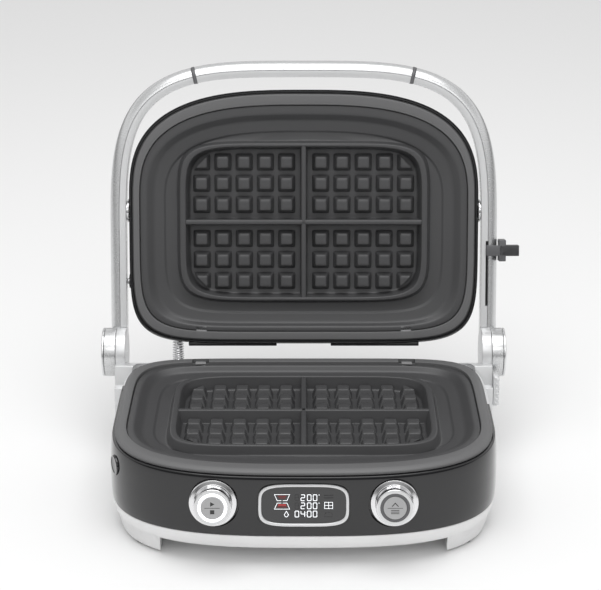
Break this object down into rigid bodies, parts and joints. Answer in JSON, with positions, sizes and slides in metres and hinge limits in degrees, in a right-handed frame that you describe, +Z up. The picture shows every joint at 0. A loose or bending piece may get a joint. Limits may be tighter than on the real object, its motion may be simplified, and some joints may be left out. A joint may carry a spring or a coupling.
{
  "type": "multi grill",
  "caption": "Open contact grill with waffle plates, a floating lid in a loop handle, dials, a display and plate release buttons.",
  "frame": {"origin": "centre of the whole object's box, on the surface it stands on, with the lid open", "axes": "+X to the right as seen from the front, +Y to the back, +Z up; -Y is the side with the dials"},
  "size_m": [0.3992, 0.366, 0.3585],
  "materials": {
    "silver_case": "satin silver",
    "handle_silver": "satin anodised",
    "brushed": "brushed",
    "bright_steel": "polished",
    "black_gloss": "gloss black",
    "dark_matte": "matte dark grey",
    "nonstick": "dark nonstick coating",
    "collar_grey": "satin dark grey",
    "rubber": "matte black",
    "sheet": "mill finish",
    "element": "dark sheath",
    "board": "green laminate",
    "light": "translucent white",
    "window": "gloss black"
  },
  "bodies": {
    "base": {"base_tray": "silver_case", "rear_housing": "silver_case", "foot_pad_front_left": "rubber", "foot_pad_front_right": "rubber", "foot_pad_rear_left": "rubber", "foot_pad_rear_right": "rubber", "front_band": "black_gloss", "base_bezel": "dark_matte", "lower_plate": "nonstick", "lower_reflector": "sheet", "lower_heater": "element", "left_hinge_ear": "silver_case", "right_hinge_ear": "silver_case", "left_hinge_pin": "bright_steel", "right_hinge_pin": "bright_steel", "display_bezel": "brushed", "display_window": "window", "left_light_ring": "light", "right_light_ring": "light", "left_encoder": "collar_grey", "right_encoder": "collar_grey", "control_board": "board", "power_board": "board", "cord_gland": "rubber", "conduit": "bright_steel", "conduit_grommet": "rubber"},
    "release_lever": {"hinge_release_lever": "silver_case"},
    "left_dial": {"left_knob": "brushed"},
    "right_dial": {"right_knob": "brushed"},
    "left_push": {"left_button": "brushed"},
    "right_push": {"right_button": "brushed"},
    "base_release": {"base_release_button": "black_gloss"},
    "handle": {"left_arm": "handle_silver", "right_arm": "handle_silver", "left_arm_strip": "handle_silver", "right_arm_strip": "handle_silver", "left_hub_cap": "brushed", "right_hub_cap": "brushed", "left_collar": "collar_grey", "right_collar": "collar_grey", "grip_bar": "handle_silver", "grip_strip": "handle_silver", "lever_slot_liner": "rubber", "left_pivot_washer": "bright_steel", "right_pivot_washer": "bright_steel"},
    "height_lock": {"height_lever": "collar_grey"},
    "lid": {"lid_cover": "black_gloss", "lid_bezel": "dark_matte", "upper_plate": "nonstick", "upper_reflector": "sheet", "upper_heater": "element", "left_pivot_boss": "bright_steel", "right_pivot_boss": "bright_steel"},
    "lid_release": {"lid_release_button": "black_gloss"}
  },
  "joints": [
    {"name": "lid_hinge", "type": "hinge", "parent": "base", "child": "handle", "pos_m": [-0.0066, 0.08409, 0.092], "axis": [1, 0, 0], "range_deg": [-75, 105], "deforming": ["conduit"]},
    {"name": "lid_float", "type": "hinge", "parent": "handle", "child": "lid", "pos_m": [-0.0066, 0.12979, 0.22004], "axis": [-1, 0, 0], "range_deg": [-5, 0]},
    {"name": "height_lock_slide", "type": "slide", "parent": "handle", "child": "height_lock", "axis": [0, -0.2588, -0.9659], "range_m": [0, 0.0485]},
    {"name": "release_lift", "type": "slide", "parent": "base", "child": "release_lever", "axis": [0, 0, 1], "range_m": [0, 0.006], "stiffness_N_per_m": 400, "springref_m": -0.002},
    {"name": "left_dial_turn", "type": "hinge", "parent": "base", "child": "left_dial", "pos_m": [-0.0832, -0.16368, 0.0596], "axis": [0, -0.9848, 0.1736], "continuous": true},
    {"name": "right_dial_turn", "type": "hinge", "parent": "base", "child": "right_dial", "pos_m": [0.07, -0.16368, 0.0596], "axis": [0, -0.9848, 0.1736], "continuous": true},
    {"name": "left_push_slide", "type": "slide", "parent": "base", "child": "left_push", "axis": [0, 0.9848, -0.1736], "range_m": [0, 0.001], "stiffness_N_per_m": 1000, "springref_m": -0.0005},
    {"name": "right_push_slide", "type": "slide", "parent": "base", "child": "right_push", "axis": [0, 0.9848, -0.1736], "range_m": [0, 0.001], "stiffness_N_per_m": 1000, "springref_m": -0.0005},
    {"name": "base_release_slide", "type": "slide", "parent": "base", "child": "base_release", "axis": [0.9222, 0.3867, 0], "range_m": [0, 0.0012], "stiffness_N_per_m": 1200, "springref_m": -0.0006},
    {"name": "lid_release_slide", "type": "slide", "parent": "lid", "child": "lid_release", "axis": [1, 0, 0], "range_m": [0, 0.0012], "stiffness_N_per_m": 1200, "springref_m": -0.0006}
  ]
}
